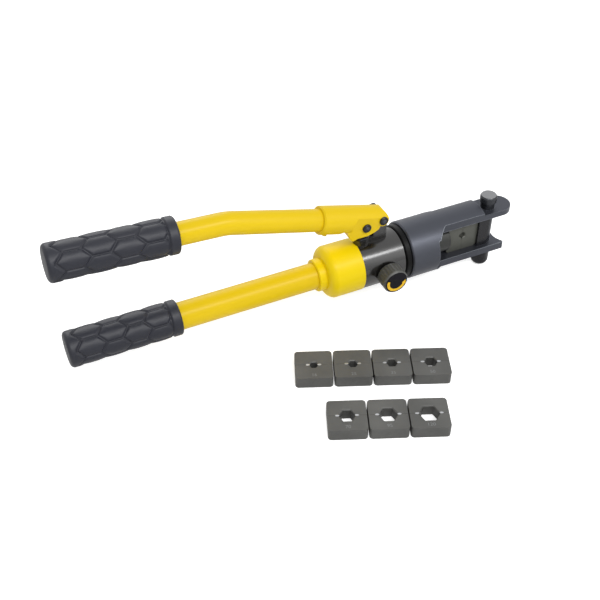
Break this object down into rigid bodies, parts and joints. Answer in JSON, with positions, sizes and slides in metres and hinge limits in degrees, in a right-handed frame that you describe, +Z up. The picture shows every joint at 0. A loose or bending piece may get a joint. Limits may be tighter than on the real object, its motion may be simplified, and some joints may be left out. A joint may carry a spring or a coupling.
{
  "type": "hydraulic crimper",
  "caption": "Hand-held hydraulic crimper with two gripped handles, a swivelling clevis head with hexagon dies and spare dies in rows.",
  "frame": {"origin": "crimp centre, where the tool's axis meets the parting plane of the jaw dies", "axes": "+X along the tool's axis to the tips of the head, +Z up along the clevis pin, +Y along the crimped connector, away from the release knob"},
  "size_m": [0.4785, 0.2305, 0.1687],
  "materials": {
    "yellow_enamel": "gloss",
    "head_enamel": "satin",
    "black_steel": "gloss",
    "grip_rubber": "satin",
    "die_steel": "satin",
    "bright_steel": "brushed",
    "dark_steel": "satin",
    "seal_rubber": "matt",
    "bladder_rubber": "matt",
    "knob_plastic": "matt",
    "arrow_yellow": "satin"
  },
  "bodies": {
    "pump": {"pump_body": "black_steel", "rear_housing": "yellow_enamel", "lower_tube": "yellow_enamel", "lower_grip": "grip_rubber", "oil_bladder": "bladder_rubber", "bladder_clamp": "bright_steel", "plunger_gland": "dark_steel", "plunger_seal": "seal_rubber", "swivel_collar": "black_steel", "swivel_seal": "seal_rubber", "spring_anchor": "bright_steel", "suction_ball": "bright_steel", "suction_spring": "bright_steel", "suction_plug": "dark_steel", "delivery_ball": "bright_steel", "delivery_spring": "bright_steel", "delivery_plug": "dark_steel", "relief_ball": "bright_steel", "relief_spring": "bright_steel", "relief_plug": "dark_steel", "release_ball": "bright_steel", "loose_die_16_front": "die_steel", "loose_die_16_rear": "die_steel", "loose_die_25_front": "die_steel", "loose_die_25_rear": "die_steel", "loose_die_35_front": "die_steel", "loose_die_35_rear": "die_steel", "loose_die_50_front": "die_steel", "loose_die_50_rear": "die_steel", "loose_die_70_front": "die_steel", "loose_die_70_rear": "die_steel", "loose_die_95_front": "die_steel", "loose_die_95_rear": "die_steel", "loose_die_120_front": "die_steel", "loose_die_120_rear": "die_steel"},
    "knob": {"release_knob": "knob_plastic", "release_spindle": "bright_steel", "knob_arrow": "arrow_yellow"},
    "plunger": {"plunger": "dark_steel"},
    "lever": {"lever_bracket": "yellow_enamel", "lever_tube": "yellow_enamel", "upper_grip": "grip_rubber", "socket_screw": "yellow_enamel", "fulcrum_pin": "dark_steel", "fulcrum_clip": "dark_steel", "plunger_pin": "dark_steel", "plunger_pin_clip": "dark_steel"},
    "head": {"crimping_head": "head_enamel", "swivel_wire": "bright_steel", "anvil_saddle": "dark_steel", "fixed_die": "die_steel", "fixed_die_stud": "bright_steel", "pin_cap": "dark_steel"},
    "ram": {"ram": "bright_steel", "ram_seal": "seal_rubber", "moving_die": "die_steel", "moving_die_stud": "bright_steel", "return_spring": "bright_steel"},
    "pin": {"clevis_pin": "head_enamel"}
  },
  "joints": [
    {"name": "lever_pivot", "type": "hinge", "parent": "pump", "child": "lever", "pos_m": [-0.1, 0, 0.0545], "axis": [0, 1, 0], "range_deg": [-11, 30]},
    {"name": "plunger_slide", "type": "slide", "parent": "pump", "child": "plunger", "axis": [0, 0, 1], "range_m": [-0.0037, 0.0098]},
    {"name": "release_turn", "type": "hinge", "parent": "pump", "child": "knob", "pos_m": [-0.0993, 0, 0], "axis": [0, -1, 0], "range_deg": [0, 180]},
    {"name": "head_swivel", "type": "hinge", "parent": "pump", "child": "head", "pos_m": [0, 0, 0], "axis": [1, 0, 0], "continuous": true},
    {"name": "ram_slide", "type": "slide", "parent": "head", "child": "ram", "axis": [1, 0, 0], "range_m": [-0.012, 0], "deforming": ["return_spring"]},
    {"name": "pin_pull", "type": "slide", "parent": "head", "child": "pin", "axis": [0, 0, 1], "range_m": [0, 0.07]}
  ],
  "couplings": [
    {"joint": "plunger_slide", "follows": "lever_pivot", "m_per_rad": 0.01835}
  ]
}
